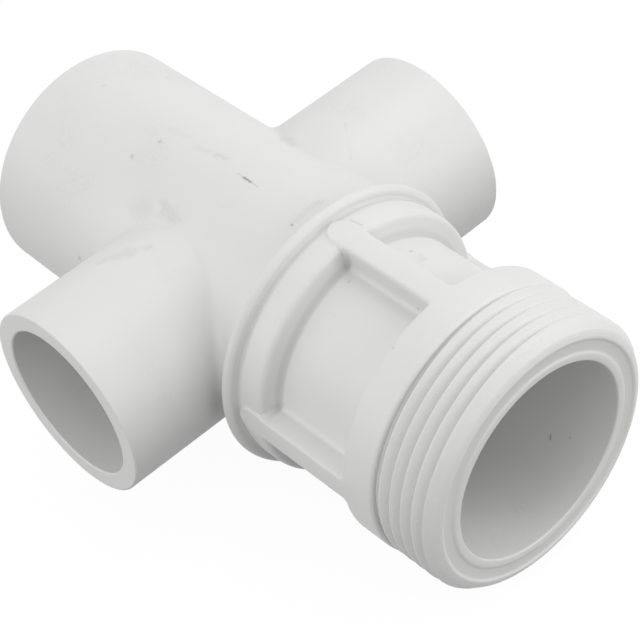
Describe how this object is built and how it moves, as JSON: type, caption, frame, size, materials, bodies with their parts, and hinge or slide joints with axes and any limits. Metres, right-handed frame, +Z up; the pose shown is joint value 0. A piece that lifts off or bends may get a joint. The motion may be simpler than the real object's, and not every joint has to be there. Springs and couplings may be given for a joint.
{
  "type": "pipe cross fitting",
  "caption": "White PVC four-way pipe cross with solvent sockets at the rear and sides and a ribbed, male-threaded front end.",
  "frame": {"origin": "centre of the threaded end's sealing face, on the run's axis", "axes": "+Y along the run, from the threaded end to the rear socket; X along the two side hubs; +Z up, through one of the four ribs"},
  "size_m": [0.144, 0.1928, 0.0892],
  "materials": {
    "cross_pvc": "white moulded PVC, satin, lightly scuffed and soiled",
    "adapter_pvc": "white moulded PVC, satin, with a moulded thread"
  },
  "bodies": {
    "root": {"cross_body": "cross_pvc", "threaded_end": "adapter_pvc"}
  },
  "joints": []
}
